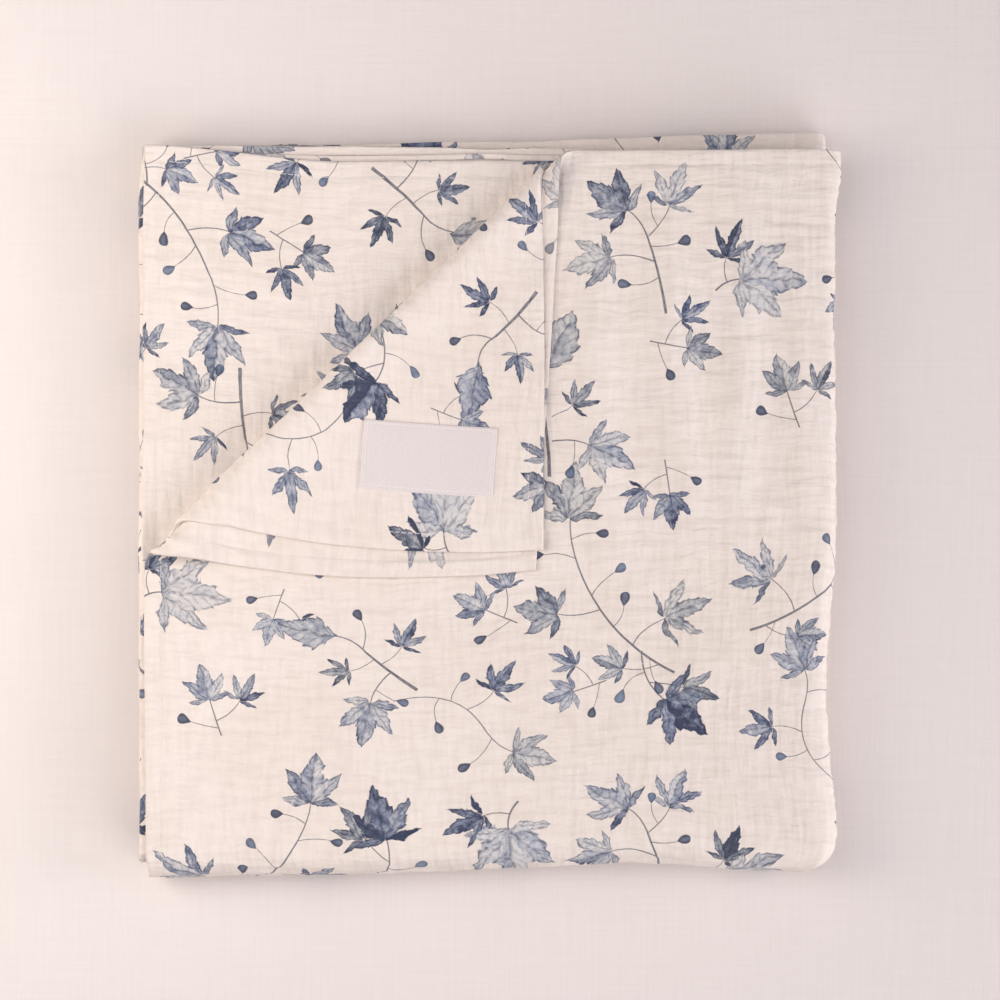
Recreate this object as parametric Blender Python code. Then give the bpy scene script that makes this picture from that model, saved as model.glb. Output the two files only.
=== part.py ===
"""A muslin swaddle blanket, folded to a sixteenth, with the two upper cloths of its open corner turned back.

The flat cloth lies with its printed face up, and its top left corner is at (0, 0): +X runs to the right
and -Y down the cloth. It is folded in half four times, each time under itself, so the top left corner
stays where it is. The corner of the two upper layers is then turned back over a slanting line.
All of it is in metres, and the pack rests on z = 0.
"""

import math

import bmesh
import bpy
import numpy as np

# Driving dimensions
THICK = 0.0010  # the cloth, two layers of soft gauze
GAP = 0.00035  # air between two layers
PANEL_W = 0.285  # the folded pack, from the left hem to the right fold
PANEL_H = 0.300  # from the top hem to the bottom fold
LEFT_PROUD = 0.0015  # how far the lower layers stand out past the left hems
TOP_PROUD = 0.0025  # and past the top hems
SLIP = 0.12  # share of a fold's growth that the inner layers don't take up
LABEL_W, LABEL_H, LABEL_THICK = 0.055, 0.0275, 0.0010
LABEL_X, LABEL_Y, LABEL_TURN = 0.1165, -0.1255, math.radians(-4)
LABEL_CLEAR = 0.0003

# The turned-back corner: its crease runs between these points of the top panel
CREASE_LOW = (0.0020, -0.1675)
CREASE_HIGH = (0.1737, 0.0)
ROLL = 0.0020  # inner radius of the roll at the crease
ROLL_LOW_EXTRA = 0.0012  # and how much fuller it is at its lower end
ROLL_REACH = 0.020  # behind the roll the corner sinks to the cloth over this length
SLIDE_LEAD = 0.040  # a layer starts to slide along the crease this far before it
# How far each turned-back layer slides along the crease at three places, and is pushed back at its corner
# Columns: layer, low_end, high_end, corner, push_back
SLIDES = (
    ("upper", 0.0, 0.0, -0.0047, 0.0035),
    ("second", 0.0166, -0.0073, 0.0033, 0.0030),
)

# Soft unevenness of the whole pack, as hills (+) and hollows (-) in its height, each a long soft mound
# Columns: x, y, half_length, half_width, heading_degrees, height
MOUNDS = (
    (0.262, -0.150, 0.150, 0.045, 90, 0.0013),
    (0.140, -0.276, 0.150, 0.045, 0, 0.0013),
    (0.060, -0.060, 0.110, 0.110, 0, -0.0009),
)
# Ridges that the top layer alone has, in the same columns
RIDGES = (
    (0.214, -0.085, 0.060, 0.011, 96, 0.0012),
    (0.240, -0.080, 0.050, 0.010, 84, 0.0010),
    (0.190, -0.130, 0.055, 0.012, 100, 0.0008),
    (0.120, -0.225, 0.070, 0.012, 8, 0.0009),
    (0.060, -0.250, 0.050, 0.010, -6, 0.0007),
    (0.230, -0.215, 0.050, 0.012, 40, 0.0007),
)
# How far each layer, counted from the top, strays along y at the open top left corner. It strays by at_left
# at the left hems, changes to at_crease over STRAY_TURN, and lies level again before the right fold
# Columns: layer, at_left, at_crease
STRAYS = ((3, 0.0026, -0.0042), (4, 0.0012, -0.0016))
STRAY_TURN, STRAY_END, STRAY_FADE = 0.075, 0.250, 0.080
# Before the last fold, the half that goes under is drawn in towards its middle and a little to the right
DRAWN_IN, DRAWN_RIGHT = 0.020, 0.0040
WAVE_X, WAVE_Y = 0.0009, 0.0008  # how far the stacked edges wander in and out
WAVE_LENGTH = 0.38
LEAN_X, LEAN_Y = 0.6, -0.5  # by how many wavelengths the wandering shifts from the lowest layer to the top
SWAY = 5.0  # and by how many radians it grows and fades on that way
SWAY_X, SWAY_Y = 1.0, 2.0

# Mesh: the widest spacing of its lines, the spacing on the top panel's face, and the steps round the roll
STEP, FACE_STEP = 0.064, 0.016
ROLL_STEPS, SINK_STEPS = 10, 6
CORNER_W, CORNER_H = 0.200, 0.190  # the part of the upper layers that the slanting crease crosses
LABEL_ACROSS, LABEL_DOWN = 8, 4
SHARP = math.radians(50)

PITCH = THICK + GAP
CENTRE = (0.1407, -0.1462)  # the middle of the pack's box, which becomes the origin


def pile(layers):
    """Height of this many layers."""
    return layers * PITCH - GAP


def bend_radius(layers):
    """Radius of the outermost layer where this many layers go round a fold."""
    return pile(layers) + GAP / 2


def arc_length(layers):
    """Cloth that the outermost layer uses to go round that fold."""
    return math.pi * bend_radius(layers)


# Where the four creases lie, worked out so that the folded layers come out level with the hems
QUARTER_W = PANEL_W - bend_radius(4)
QUARTER_H = PANEL_H - bend_radius(8)
HALF_W = 2 * QUARTER_W + arc_length(4) + LEFT_PROUD - pile(2)
HALF_H = 2 * QUARTER_H + arc_length(8) + TOP_PROUD - pile(1)
CUT_W = 2 * HALF_W + arc_length(2)
CUT_H = 2 * HALF_H + arc_length(1)

# Columns: crease_point, outward_degrees, layers, steps
FOLDS = (
    ((0, -HALF_H), -90.0, 1, 4),
    ((HALF_W, 0), 0.0, 2, 5),
    ((QUARTER_W, -PANEL_H / 2), -0.25, 4, 7),
    ((PANEL_W / 2, -QUARTER_H), -89.6, 8, 11),
)
TOP = pile(16)


def smooth(t):
    t = np.clip(t, 0.0, 1.0)
    return t * t * (3 - 2 * t)


def turn_under(points, crease_point, outward_degrees, layers, _steps):
    """Folds what lies beyond the crease under the rest, and lifts the rest by the height of the pile."""
    heading = math.radians(outward_degrees)
    outward = np.array([math.cos(heading), math.sin(heading)])
    height = pile(layers)
    s = (points[:, :2] - crease_point) @ outward
    z = points[:, 2]
    arc = arc_length(layers) - SLIP * math.pi * (height - z)
    angle = math.pi * np.clip(s / arc, 0, 1)
    reach = (z + GAP / 2) * np.sin(angle) - np.maximum(s - arc, 0)
    folded = points.copy()
    folded[:, :2] += np.outer(np.where(s > 0, reach - s, 0), outward)
    folded[:, 2] = np.where(s > 0, (z + GAP / 2) * np.cos(angle) - GAP / 2, z) + height + GAP
    return folded


def crease_frame():
    """The slanting crease: its low end, its direction, the direction towards the corner and its length."""
    low, high = np.array(CREASE_LOW), np.array(CREASE_HIGH)
    length = np.linalg.norm(high - low)
    along = (high - low) / length
    outward = np.array([-along[1], along[0]])
    return low - outward * (ROLL + THICK / 2), along, outward, length


def slides(row, a, b, corner, length):
    """Slide along the crease and push back towards it, both linear over the turned-back triangle."""
    _, low_end, high_end, at_corner, push_back = row
    level = low_end + (high_end - low_end) * a / length
    level_at_corner = low_end + (high_end - low_end) * corner[0] / length
    return level + (at_corner - level_at_corner) * b / corner[1], push_back * b / corner[1]


def roll_radius(a):
    """Inner radius of the roll, fuller towards the crease's low end."""
    return ROLL + ROLL_LOW_EXTRA * smooth(1 - a / crease_frame()[3])


def roll_arc(radius, layer):
    """Cloth that a turned-back layer uses to go round the roll."""
    return math.pi * (radius + (layer - 1) * PITCH + THICK / 2)


def sunk(radius, beyond):
    """How far the corner has sunk to the cloth below it, this far behind the roll."""
    return (2 * radius - GAP) * smooth(beyond / ROLL_REACH)


def turn_back(points, layer, row):
    """Turns one layer's corner back over the slanting crease, with a soft roll there."""
    point, along, outward, length = crease_frame()
    s = (points[:, :2] - point) @ outward
    a = (points[:, :2] - point) @ along
    corner = (-point @ along, -point @ outward)
    radius = roll_radius(a)
    axis_z = TOP + radius
    arc = roll_arc(radius, layer)
    angle = math.pi * np.clip(s / arc, 0, 1)
    beyond = np.maximum(s - arc, 0)
    reach = np.where(s > 0, (axis_z - points[:, 2]) * np.sin(angle) - beyond, s)
    slide, push = slides(row, a, beyond, corner, length)
    begun = smooth((s + SLIDE_LEAD) / (SLIDE_LEAD + arc))
    moved = points.copy()
    moved[:, :2] = point + np.outer(reach + push * begun, outward) + np.outer(a + slide * begun, along)
    turned = axis_z - (axis_z - points[:, 2]) * np.cos(angle)
    moved[:, 2] = np.where(s > 0, turned, points[:, 2])
    moved[:, 2] -= sunk(radius, beyond)
    return moved


def mounds(x, y, rows):
    """Height of soft mounds at each place."""
    total = np.zeros_like(x)
    for mound_x, mound_y, half_length, half_width, heading, height in rows:
        turn = math.radians(heading)
        along = (x - mound_x) * math.cos(turn) + (y - mound_y) * math.sin(turn)
        across = (y - mound_y) * math.cos(turn) - (x - mound_x) * math.sin(turn)
        total += height * np.exp(-((along / half_length) ** 2) - (across / half_width) ** 2)
    return total


def settle(points):
    """Lets the stacked edges wander and the pile swell and sink. Each step moves one coordinate only,
    by an amount that depends on the others, so layers never meet."""
    x, y, z = points.T.copy()
    level = z / TOP
    x += WAVE_X * np.sin(2 * math.pi * (y / WAVE_LENGTH + LEAN_X * level)) * np.sin(SWAY * level + SWAY_X)
    y += WAVE_Y * np.sin(2 * math.pi * (x / WAVE_LENGTH + LEAN_Y * level)) * np.sin(SWAY * level + SWAY_Y)
    z *= 1 + mounds(x, y, MOUNDS) / TOP
    return np.stack([x - CENTRE[0], y - CENTRE[1], z], axis=1)


def stray(points, at_left, at_crease):
    """A lower layer's top hem doesn't lie level with the others at the open corner."""
    x, y = points[:, 0], points[:, 1]
    lift = at_crease + (at_left - at_crease) * smooth(1 - x / STRAY_TURN)
    points[:, 1] = y + lift * smooth((STRAY_END - x) / STRAY_FADE) * smooth(1 + y / STRAY_END)
    return points


def draw_in(points):
    """Narrows the half that the last fold turns under, more and more towards its far end."""
    far = np.maximum(0, -points[:, 1] - QUARTER_H) / QUARTER_H
    points[:, 0] += far * (DRAWN_RIGHT - DRAWN_IN * (points[:, 0] - PANEL_W / 2))
    return points


def fold_cloth(flat):
    """From the flat cloth's points to the folded pack's."""
    points = flat.copy()
    for row in FOLDS[:-1]:
        points = turn_under(points, *row)
    points = turn_under(draw_in(points), *FOLDS[-1])
    layer = np.round((TOP - THICK / 2 - points[:, 2]) / PITCH).astype(int) + 1
    open_part = (flat[:, 0] < QUARTER_W) | (flat[:, 0] > CUT_W - QUARTER_W)
    open_part &= (flat[:, 1] > -QUARTER_H) | (flat[:, 1] < QUARTER_H - CUT_H)
    face = open_part & (layer == 1) & (flat[:, 2] > THICK / 2)
    points[face, 2] += mounds(points[face, 0], points[face, 1], RIDGES)
    for number, at_left, at_crease in STRAYS:
        chosen = open_part & (layer == number)
        points[chosen] = stray(points[chosen], at_left, at_crease)
    for number, row in enumerate(SLIDES, 1):
        chosen = open_part & (layer == number)
        points[chosen] = turn_back(points[chosen], number, row)
    return settle(points)


def spaced(start, end, step):
    """Places between two ends, about a step apart, without the ends."""
    count = max(1, round((end - start) / step))
    return [start + (end - start) * i / count for i in range(1, count)]


def crease_lines(creases, cut):
    """Where the flat cloth needs a line of vertices: through each fold's bend, and evenly between."""
    lines, reached = [], 0.0
    for start, layers, steps in sorted(creases):
        bend_step = arc_length(layers) / steps
        spare = 1 if layers > 2 else 0  # the outer creases lie a little askew to the lines
        lines += spaced(reached, start - spare * bend_step, STEP)
        lines += [start + bend_step * i for i in range(-spare, steps + 1 + spare)]
        reached = lines[-1]
    return lines + spaced(reached, cut, STEP)


def cut_lines(bm, inside, point, normal):
    """Cuts the chosen faces of the flat cloth along a line."""
    faces = [f for f in bm.faces if inside(f.calc_center_median())]
    edges = {e for f in faces for e in f.edges}
    verts = {v for f in faces for v in f.verts}
    geometry = [*verts, *edges, *faces]
    bmesh.ops.bisect_plane(bm, geom=geometry, dist=1e-6, plane_co=(*point, 0), plane_no=(*normal, 0))


def flat_cloth(bm):
    """The flat cloth as a plane cut along every line that a fold needs, then given its thickness."""
    bmesh.ops.create_grid(bm, x_segments=1, y_segments=1, size=0.5)
    for vert in bm.verts:
        vert.co.x = (vert.co.x + 0.5) * CUT_W
        vert.co.y = (vert.co.y - 0.5) * CUT_H
    down = bends(1, QUARTER_H, HALF_H, CUT_H)
    across = bends(0, QUARTER_W, HALF_W, CUT_W)
    for x in crease_lines(across, CUT_W):
        cut_lines(bm, lambda c: True, (x, 0), (1, 0))
    for y in crease_lines(down, CUT_H):
        cut_lines(bm, lambda c: True, (0, -y), (0, 1))
    point, _, outward, _ = crease_frame()
    for s in roll_lines(1):
        cut_lines(bm, lambda c: c.x < CORNER_W and c.y > -CORNER_H, point + outward * s, outward)
    for s in roll_lines(2):
        x, y = point + outward * s
        mirrored = (outward[0], -outward[1])
        cut_lines(bm, lambda c: c.x < CORNER_W and c.y < CORNER_H - CUT_H, (x, -CUT_H - y), mirrored)
    made = bmesh.ops.extrude_face_region(bm, geom=bm.faces[:])
    top = [g for g in made["geom"] if isinstance(g, bmesh.types.BMVert)]
    bmesh.ops.translate(bm, vec=(0, 0, THICK), verts=top)
    for x in spaced(0, QUARTER_W, FACE_STEP):
        cut_lines(bm, on_top_panel, (x, 0), (1, 0))
    for y in spaced(0, QUARTER_H, FACE_STEP):
        cut_lines(bm, on_top_panel, (0, -y), (0, 1))
    bmesh.ops.triangulate(bm, faces=bm.faces[:])
    bmesh.ops.recalc_face_normals(bm, faces=bm.faces[:])


def roll_lines(layer):
    """How far beyond the slanting crease a turned-back layer needs its lines of vertices."""
    fullest = roll_arc(ROLL + ROLL_LOW_EXTRA, layer)
    bend = [fullest * i / ROLL_STEPS for i in range(-1, ROLL_STEPS + 1)]
    return bend + [fullest + ROLL_REACH * i / SINK_STEPS for i in range(1, SINK_STEPS + 1)]


def on_top_panel(place):
    """Whether a place is on the printed face of the panel that ends on top."""
    return place.x < QUARTER_W and place.y > -QUARTER_H and place.z > THICK / 2


def bends(axis, quarter, half, cut):
    """Start, layers and steps of the three bends that cross the cloth in one direction."""
    _, _, half_layers, half_steps = FOLDS[1 - axis]
    _, _, quarter_layers, quarter_steps = FOLDS[2 + axis]
    far_quarter = cut - quarter - arc_length(quarter_layers)
    return [
        (quarter, quarter_layers, quarter_steps),
        (half, half_layers, half_steps),
        (far_quarter, quarter_layers, quarter_steps),
    ]


def material(name, colour, roughness, sheen):
    made = bpy.data.materials.new(name)
    made.use_nodes = True
    shader = made.node_tree.nodes["Principled BSDF"]
    shader.inputs["Base Color"].default_value = (*colour, 1)
    shader.inputs["Roughness"].default_value = roughness
    shader.inputs["Metallic"].default_value = 0.0
    shader.inputs["Sheen Weight"].default_value = sheen
    return made


def add_object(name, bm, shape, finish, collection):
    """Moves every point of the flat mesh by the shape function, and makes an object of it."""
    mesh = bpy.data.meshes.new(name)
    bm.to_mesh(mesh)
    bm.free()
    flat = np.empty(len(mesh.vertices) * 3)
    mesh.vertices.foreach_get("co", flat)
    mesh.vertices.foreach_set("co", shape(flat.reshape(-1, 3)).ravel())
    mesh.update()
    mesh.shade_smooth()
    mesh.set_sharp_from_angle(angle=SHARP)
    mesh.materials.append(finish)
    made = bpy.data.objects.new(name, mesh)
    collection.objects.link(made)
    return made


def blanket(collection):
    bm = bmesh.new()
    flat_cloth(bm)
    return add_object("blanket", bm, fold_cloth, material("gauze", (0.86, 0.80, 0.74), 0.9, 0.3), collection)


def lay_label(flat):
    """From the label's own centre to its place on the turned-back corner, a clear gap above the cloth."""
    cos, sin = math.cos(LABEL_TURN), math.sin(LABEL_TURN)
    x = LABEL_X + flat[:, 0] * cos - flat[:, 1] * sin
    y = LABEL_Y + flat[:, 0] * sin + flat[:, 1] * cos
    point, along, outward, _ = crease_frame()
    offset = np.stack([x, y], axis=1) - point
    radius = roll_radius(offset @ along)
    top_of_corner = TOP + 2 * radius + pile(2) - sunk(radius, -(offset @ outward))
    return settle(np.stack([x, y, top_of_corner + LABEL_CLEAR + flat[:, 2]], axis=1))


def label(collection):
    bm = bmesh.new()
    bmesh.ops.create_grid(bm, x_segments=LABEL_ACROSS, y_segments=LABEL_DOWN, size=0.5)
    bmesh.ops.scale(bm, vec=(LABEL_W, LABEL_H, 1), verts=bm.verts[:])
    made = bmesh.ops.extrude_face_region(bm, geom=bm.faces[:])
    top = [g for g in made["geom"] if isinstance(g, bmesh.types.BMVert)]
    bmesh.ops.translate(bm, vec=(0, 0, LABEL_THICK), verts=top)
    bmesh.ops.recalc_face_normals(bm, faces=bm.faces[:])
    return add_object("label", bm, lay_label, material("woven_label", (0.90, 0.88, 0.88), 0.6, 0.1), collection)


def main():
    for old in list(bpy.data.objects):
        bpy.data.objects.remove(old, do_unlink=True)
    collection = bpy.data.collections.new("swaddle_blanket")
    bpy.context.scene.collection.children.link(collection)
    blanket(collection)
    label(collection)


main()
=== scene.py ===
"""The looks of the folded swaddle blanket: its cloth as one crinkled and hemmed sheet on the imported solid's
folds, its leaf print, its sewn label, and the table and light of the photograph.

The flat cloth lies with its printed face up and its top left corner at (0, 0): +X runs right, -Y down the
cloth. Its four corner panels are called after the layer that they end in, from the top: 1 the turned-back
upper layer and the top panel, 2 the second turned-back layer, 3 the one that the turned-back corner
uncovers, and 4.
"""

import math
from itertools import product

import bmesh
import bpy
import numpy as np
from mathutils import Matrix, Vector
from mathutils.geometry import delaunay_2d_cdt


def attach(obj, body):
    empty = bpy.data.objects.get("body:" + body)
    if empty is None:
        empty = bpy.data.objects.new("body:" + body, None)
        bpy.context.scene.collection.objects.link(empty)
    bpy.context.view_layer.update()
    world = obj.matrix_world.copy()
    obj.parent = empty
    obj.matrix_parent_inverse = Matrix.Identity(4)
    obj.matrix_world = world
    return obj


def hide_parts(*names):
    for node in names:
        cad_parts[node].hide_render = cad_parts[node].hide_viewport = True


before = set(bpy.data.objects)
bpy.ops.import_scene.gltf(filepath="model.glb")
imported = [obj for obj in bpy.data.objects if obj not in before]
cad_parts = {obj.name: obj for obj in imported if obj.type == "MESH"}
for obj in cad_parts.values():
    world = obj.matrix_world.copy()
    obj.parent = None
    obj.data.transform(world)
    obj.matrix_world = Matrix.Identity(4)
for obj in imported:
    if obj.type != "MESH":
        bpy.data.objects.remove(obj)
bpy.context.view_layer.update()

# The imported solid's own sizes and folds. Its ridges are fewer and lower than these
THICK = 0.0010
GAP = 0.00035
PANEL_W, PANEL_H = 0.285, 0.300
LEFT_PROUD, TOP_PROUD = 0.0015, 0.0025
SLIP = 0.12
CREASE_LOW, CREASE_HIGH = (0.0020, -0.1675), (0.1737, 0.0)
ROLL, ROLL_LOW_EXTRA, ROLL_REACH = 0.0020, 0.0012, 0.020
SLIDE_LEAD = 0.040
# Columns: low_end, high_end, corner, push_back
SLIDES = {1: (0.0, 0.0, -0.0047, 0.0035), 2: (0.0166, -0.0073, 0.0033, 0.0030)}
# Columns: x, y, half_length, half_width, heading_degrees, height
MOUNDS = (
    (0.262, -0.150, 0.150, 0.045, 90, 0.0013),
    (0.140, -0.276, 0.150, 0.045, 0, 0.0013),
    (0.060, -0.060, 0.110, 0.110, 0, -0.0009),
)
RIDGES = (
    (0.188, -0.080, 0.062, 0.0075, 92, 0.0022),
    (0.2205, -0.088, 0.066, 0.0080, 94, 0.0024),
    (0.2475, -0.092, 0.060, 0.0070, 87, 0.0021),
    (0.196, -0.160, 0.045, 0.0090, 101, 0.0010),
    (0.120, -0.225, 0.070, 0.010, 8, 0.0011),
    (0.060, -0.250, 0.050, 0.009, -6, 0.0009),
    (0.230, -0.215, 0.050, 0.010, 40, 0.0009),
    (0.2715, -0.100, 0.075, 0.0060, 91, 0.0012),
    (0.150, -0.205, 0.040, 0.007, -14, 0.0008),
)
# Columns: at_left, at_crease
STRAYS = {3: (0.0026, -0.0042), 4: (0.0012, -0.0016)}
STRAY_TURN, STRAY_END, STRAY_FADE = 0.075, 0.250, 0.080
DRAWN_IN, DRAWN_RIGHT = 0.020, 0.0040
WAVE_X, WAVE_Y, WAVE_LENGTH = 0.0009, 0.0008, 0.38
LEAN_X, LEAN_Y, SWAY, SWAY_X, SWAY_Y = 0.6, -0.5, 5.0, 1.0, 2.0
CENTRE = (0.1407, -0.1462)
LABEL_W, LABEL_H = 0.055, 0.0275
LABEL_X, LABEL_Y, LABEL_TURN = 0.1165, -0.1255, -4  # degrees
LABEL_CLEAR = 0.0003

PITCH = THICK + GAP


def pile(layers):
    """Height of this many layers."""
    return layers * PITCH - GAP


def bend_radius(layers):
    return pile(layers) + GAP / 2


def arc_length(layers):
    """Cloth that the outermost of this many layers uses to go round a fold."""
    return math.pi * bend_radius(layers)


QUARTER_W = PANEL_W - bend_radius(4)
QUARTER_H = PANEL_H - bend_radius(8)
HALF_W = 2 * QUARTER_W + arc_length(4) + LEFT_PROUD - pile(2)
HALF_H = 2 * QUARTER_H + arc_length(8) + TOP_PROUD - pile(1)
CUT_W = 2 * HALF_W + arc_length(2)
CUT_H = 2 * HALF_H + arc_length(1)
# How far the top panel reaches round the right and the bottom fold, on the flat cloth
ROUND_RIGHT, ROUND_LOW = QUARTER_W + arc_length(4), QUARTER_H + arc_length(8)
# Columns: crease_point, outward_degrees, layers
FOLDS = (
    ((0, -HALF_H), -90.0, 1),
    ((HALF_W, 0), 0.0, 2),
    ((QUARTER_W, -PANEL_H / 2), -0.25, 4),
    ((PANEL_W / 2, -QUARTER_H), -89.6, 8),
)
TOP = pile(16)


def smooth(t):
    t = np.clip(t, 0.0, 1.0)
    return t * t * (3 - 2 * t)


# --- the folds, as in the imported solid


def turn_under(points, crease_point, outward_degrees, layers):
    """Folds what lies beyond the crease under the rest, and lifts the rest by the height of the pile."""
    heading = math.radians(outward_degrees)
    outward = np.array([math.cos(heading), math.sin(heading)])
    height = pile(layers)
    s = (points[:, :2] - crease_point) @ outward
    z = points[:, 2]
    arc = arc_length(layers) - SLIP * math.pi * (height - z)
    angle = math.pi * np.clip(s / arc, 0, 1)
    reach = (z + GAP / 2) * np.sin(angle) - np.maximum(s - arc, 0)
    folded = points.copy()
    folded[:, :2] += np.outer(np.where(s > 0, reach - s, 0), outward)
    folded[:, 2] = np.where(s > 0, (z + GAP / 2) * np.cos(angle) - GAP / 2, z) + height + GAP
    return folded


def crease_frame():
    """The slanting crease: its low end, the directions along and beyond it, and its length."""
    low, high = np.array(CREASE_LOW), np.array(CREASE_HIGH)
    length = np.linalg.norm(high - low)
    along = (high - low) / length
    outward = np.array([-along[1], along[0]])
    return low - outward * (ROLL + THICK / 2), along, outward, length


CREASE_POINT, ALONG, OUTWARD, CREASE_LENGTH = crease_frame()


def crease_axes(places):
    """Each place's distance along the slanting crease and beyond it."""
    offset = places - CREASE_POINT
    return offset @ ALONG, offset @ OUTWARD


def slides(layer, a, b):
    """Slide along the crease and push back towards it, both linear over the turned-back triangle."""
    low_end, high_end, at_corner, push_back = SLIDES[layer]
    corner_a, corner_b = crease_axes(np.zeros(2))
    level = low_end + (high_end - low_end) * a / CREASE_LENGTH
    level_at_corner = low_end + (high_end - low_end) * corner_a / CREASE_LENGTH
    return level + (at_corner - level_at_corner) * b / corner_b, push_back * b / corner_b


def roll_radius(a):
    return ROLL + ROLL_LOW_EXTRA * smooth(1 - a / CREASE_LENGTH)


def roll_arc(radius, layer):
    return math.pi * (radius + (layer - 1) * PITCH + THICK / 2)


def sunk(radius, beyond):
    return (2 * radius - GAP) * smooth(beyond / ROLL_REACH)


def turn_back(points, layer):
    """Turns one layer's corner back over the slanting crease, with a soft roll there."""
    a, s = crease_axes(points[:, :2])
    radius = roll_radius(a)
    axis_z = TOP + radius
    arc = roll_arc(radius, layer)
    angle = math.pi * np.clip(s / arc, 0, 1)
    beyond = np.maximum(s - arc, 0)
    reach = np.where(s > 0, (axis_z - points[:, 2]) * np.sin(angle) - beyond, s)
    slide, push = slides(layer, a, beyond)
    begun = smooth((s + SLIDE_LEAD) / (SLIDE_LEAD + arc))
    moved = points.copy()
    moved[:, :2] = CREASE_POINT + np.outer(reach + push * begun, OUTWARD) + np.outer(a + slide * begun, ALONG)
    turned = axis_z - (axis_z - points[:, 2]) * np.cos(angle)
    moved[:, 2] = np.where(s > 0, turned, points[:, 2]) - sunk(radius, beyond)
    return moved


def turned_axes(x, y, at_x, at_y, degrees):
    """Places seen from a point, along a heading and across it."""
    cos, sin = math.cos(math.radians(degrees)), math.sin(math.radians(degrees))
    return (x - at_x) * cos + (y - at_y) * sin, (y - at_y) * cos - (x - at_x) * sin


def mounds(x, y, rows):
    """Height of soft mounds at each place."""
    total = np.zeros_like(x)
    for at_x, at_y, half_length, half_width, heading, height in rows:
        along, across = turned_axes(x, y, at_x, at_y, heading)
        total += height * np.exp(-((along / half_length) ** 2) - (across / half_width) ** 2)
    return total


def settle(points):
    """Lets the stacked edges wander and the pile swell and sink."""
    x, y, z = points.T.copy()
    level = z / TOP
    x += WAVE_X * np.sin(2 * math.pi * (y / WAVE_LENGTH + LEAN_X * level)) * np.sin(SWAY * level + SWAY_X)
    y += WAVE_Y * np.sin(2 * math.pi * (x / WAVE_LENGTH + LEAN_Y * level)) * np.sin(SWAY * level + SWAY_Y)
    z *= 1 + mounds(x, y, MOUNDS) / TOP
    return np.stack([x - CENTRE[0], y - CENTRE[1], z], axis=1)


def stray(points, at_left, at_crease):
    """A lower layer's top hem doesn't lie level with the others at the open corner."""
    x, y = points[:, 0], points[:, 1]
    lift = at_crease + (at_left - at_crease) * smooth(1 - x / STRAY_TURN)
    points[:, 1] = y + lift * smooth((STRAY_END - x) / STRAY_FADE) * smooth(1 + y / STRAY_END)
    return points


def draw_in(points):
    """Narrows the half that the last fold turns under, more and more towards its far end."""
    far = np.maximum(0, -points[:, 1] - QUARTER_H) / QUARTER_H
    points[:, 0] += far * (DRAWN_RIGHT - DRAWN_IN * (points[:, 0] - PANEL_W / 2))
    return points


def pack_up(flat):
    """The four folds, from flat points to the pile with its corner still closed."""
    points = flat.copy()
    for row in FOLDS[:-1]:
        points = turn_under(points, *row)
    return turn_under(draw_in(points), *FOLDS[-1])


def layers_of(flat):
    """The layer, from the top, in which each point of an open corner panel ends, and 0 for all the others."""
    middle = flat.copy()
    middle[:, 2] = THICK / 2
    layer = np.round((TOP - THICK / 2 - pack_up(middle)[:, 2]) / PITCH).astype(int) + 1
    open_part = (flat[:, 0] < QUARTER_W) | (flat[:, 0] > CUT_W - QUARTER_W)
    open_part &= (flat[:, 1] > -QUARTER_H) | (flat[:, 1] < QUARTER_H - CUT_H)
    return np.where(open_part, layer, 0)


def fold_cloth(flat, layer):
    """From the flat cloth's points to the folded pack's."""
    points = pack_up(flat)
    for number, row in STRAYS.items():
        points[layer == number] = stray(points[layer == number], *row)
    for number in SLIDES:
        points[layer == number] = turn_back(points[layer == number], number)
    return settle(points)


# --- the cloth's mesh, laid out flat

HEM_W = 0.0066  # from the edge to the hem's seam
# Crinkles run across the cloth and are narrow down it, so where they show the mesh is finer down the cloth
FINE_X, FINE_Y = 0.0034, 0.00115
COARSE, ROUND_BEND = 0.014, 0.0065
HIDDEN_ROWS = (0.0, 0.00008, 0.00026, 0.0006, 0.0030)
HEM_ROWS = (0.0, 0.00008, 0.00026, 0.0006, 0.0018, 0.0034, 0.0048, 0.0058, 0.0063, 0.0067, 0.0071, 0.0077)
HEM_CLEAR = 0.0008  # from the hem's innermost row to the lattices
CORNER_REACH = 0.190  # how far from its corner a turned-back panel reaches


def panel_place(x, y):
    """A flat point's place in its corner panel: +x away from the side hem, and -y from the cross hem."""
    return np.minimum(x, CUT_W - x), np.maximum(-CUT_H - y, y)


def panel_of(x, y):
    """Which corner panel a flat point lies nearest to: 1, 2, 3 or 4."""
    right, low = x > CUT_W / 2, y < -CUT_H / 2
    return np.where(right, np.where(low, 3, 4), np.where(low, 2, 1))


def crease_place(x, y):
    """A flat point's place along the slanting crease and beyond it, in its own corner panel."""
    return crease_axes(np.stack(panel_place(x, y), axis=1))


def bare_top(x, y):
    """The printed face of the top panel, where the turned-back corner doesn't cover it."""
    px, py = panel_place(x, y)
    _, s = crease_place(x, y)
    over_x, over_y = px - 2 * s * OUTWARD[0], py - 2 * s * OUTWARD[1]
    return (s < -0.002) & ((over_x < 0.004) | (over_y > -0.004))


def turned(x, y):
    """Beyond the slanting crease."""
    return crease_place(x, y)[1] > -0.003


def on_strip(x, y):
    """The back of the upper layer, where it shows past the second layer's hems."""
    px, py = panel_place(x, y)
    return (crease_place(x, y)[1] > 0.010) & (np.minimum(px, -py) < 0.017)


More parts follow.
